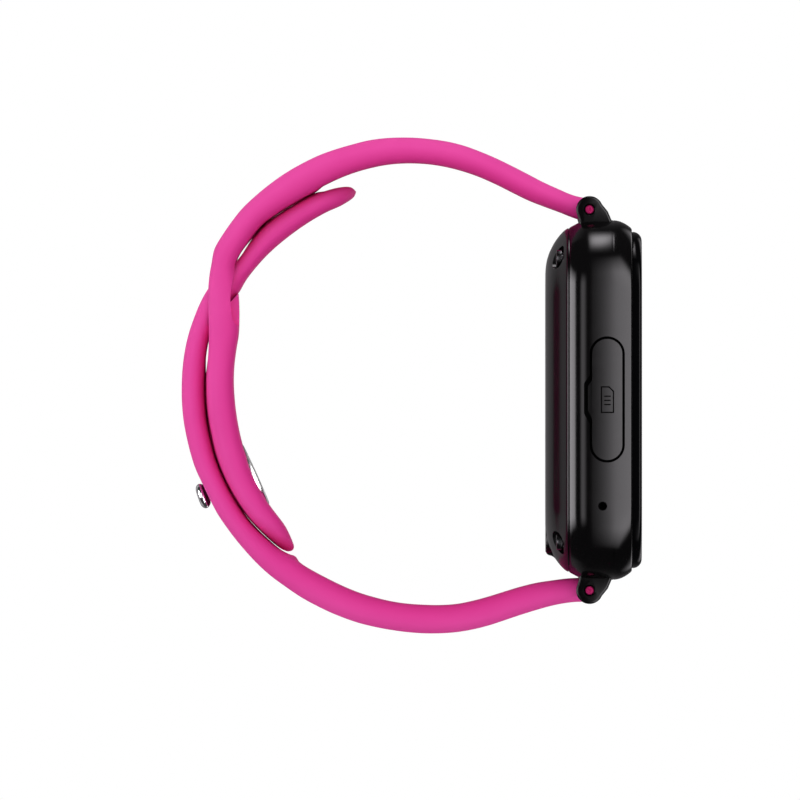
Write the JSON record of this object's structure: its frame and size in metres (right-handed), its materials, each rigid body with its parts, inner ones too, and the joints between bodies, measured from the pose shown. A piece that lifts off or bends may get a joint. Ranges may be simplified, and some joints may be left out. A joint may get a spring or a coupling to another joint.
{
  "type": "fitness tracker band",
  "caption": "Rectangular smartwatch-style fitness tracker on a closed pin-and-tuck silicone band, with a side card cover, lug spring bars and a metal stud clasp.",
  "frame": {"origin": "centre of the wrist opening, half way across the band", "axes": "+X out of the display, +Z towards the 12 o'clock lugs, +Y towards the side with the button"},
  "size_m": [0.0615, 0.0408, 0.0663],
  "materials": {
    "silicone": "satin hot-pink silicone",
    "case_gloss": "glossy black",
    "case_satin": "satin black",
    "glass_black": "black-printed cover glass",
    "lens_dark": "dark sensor window",
    "display": "display panel, switched off",
    "steel": "brushed stainless steel",
    "chrome": "polished",
    "gold": "gold-plated contact",
    "seal_rubber": "matt black rubber",
    "board": "green solder mask",
    "module": "dark grey component",
    "bar_tip": "pink bar end"
  },
  "bodies": {
    "case": {"mid_frame_housing": "case_gloss", "back_cover": "case_gloss", "cover_glass": "glass_black", "sensor_window": "lens_dark", "display_panel": "display", "back_screw_1": "steel", "back_screw_2": "steel", "back_screw_3": "steel", "back_screw_4": "steel", "display_bracket": "steel", "shield_can": "steel", "vibration_motor": "steel", "sim_socket": "steel", "spring_bar_top": "steel", "spring_bar_bottom": "steel", "spring_coil_top": "steel", "spring_coil_bottom": "steel", "charge_contact_1": "gold", "charge_contact_2": "gold", "microphone": "gold", "antenna_strip": "gold", "back_gasket": "seal_rubber", "display_adhesive": "seal_rubber", "optical_barrier": "seal_rubber", "main_board": "board", "sensor_board": "board", "battery": "module", "speaker": "module", "button_switch": "module"},
    "upper_strap": {"strap_upper": "silicone"},
    "clasp_loop": {"strap_slot_section": "silicone", "strap_hole_section": "silicone"},
    "lower_strap": {"strap_lower": "silicone"},
    "pin_end": {"strap_pin_end": "silicone", "stud_base": "steel", "stud_head": "chrome"},
    "card_tray": {"sim_cover": "case_satin", "sim_seal": "seal_rubber", "sim_tray": "case_satin", "nano_sim": "gold"},
    "power_button": {"power_button": "case_gloss", "button_stem": "steel"},
    "bar_tip_top_a": {"bar_tip_top_a": "bar_tip"},
    "bar_tip_top_b": {"bar_tip_top_b": "bar_tip"},
    "bar_tip_bottom_a": {"bar_tip_bottom_a": "bar_tip"},
    "bar_tip_bottom_b": {"bar_tip_bottom_b": "bar_tip"}
  },
  "joints": [
    {"name": "upper_strap_pivot", "type": "hinge", "parent": "case", "child": "upper_strap", "pos_m": [0.0264, 0, 0.02546], "axis": [0, 1, 0], "range_deg": [-5, 5], "stiffness_Nm_per_rad": 0.6},
    {"name": "loop_flex_upper", "type": "hinge", "parent": "upper_strap", "child": "clasp_loop", "pos_m": [-0.00536, 0, 0.03229], "axis": [0, 1, 0], "range_deg": [-6, 6]},
    {"name": "loop_flex_lower", "type": "hinge", "parent": "clasp_loop", "child": "lower_strap", "pos_m": [-0.00831, 0, -0.02626], "axis": [0, 1, 0], "range_deg": [-6, 6]},
    {"name": "pin_end_flex", "type": "hinge", "parent": "clasp_loop", "child": "pin_end", "pos_m": [-0.02275, 0, 0.0069], "axis": [0, -1, 0], "range_deg": [0, 16], "stiffness_Nm_per_rad": 0.05},
    {"name": "card_tray_slide", "type": "slide", "parent": "case", "child": "card_tray", "axis": [0, -1, 0], "range_m": [0, 0.014]},
    {"name": "power_button_press", "type": "slide", "parent": "case", "child": "power_button", "axis": [0, -1, 0], "range_m": [0, 0.0004], "stiffness_N_per_m": 400},
    {"name": "bar_tip_top_a_press", "type": "slide", "parent": "case", "child": "bar_tip_top_a", "axis": [0, 1, 0], "range_m": [0, 0.0016], "stiffness_N_per_m": 300},
    {"name": "bar_tip_top_b_press", "type": "slide", "parent": "case", "child": "bar_tip_top_b", "axis": [0, -1, 0], "range_m": [0, 0.0016], "stiffness_N_per_m": 300},
    {"name": "bar_tip_bottom_a_press", "type": "slide", "parent": "case", "child": "bar_tip_bottom_a", "axis": [0, 1, 0], "range_m": [0, 0.0016], "stiffness_N_per_m": 300},
    {"name": "bar_tip_bottom_b_press", "type": "slide", "parent": "case", "child": "bar_tip_bottom_b", "axis": [0, -1, 0], "range_m": [0, 0.0016], "stiffness_N_per_m": 300}
  ],
  "couplings": [
    {"joint": "loop_flex_upper", "follows": "upper_strap_pivot", "ratio": -0.8716},
    {"joint": "loop_flex_lower", "follows": "upper_strap_pivot", "ratio": 0.7975}
  ]
}
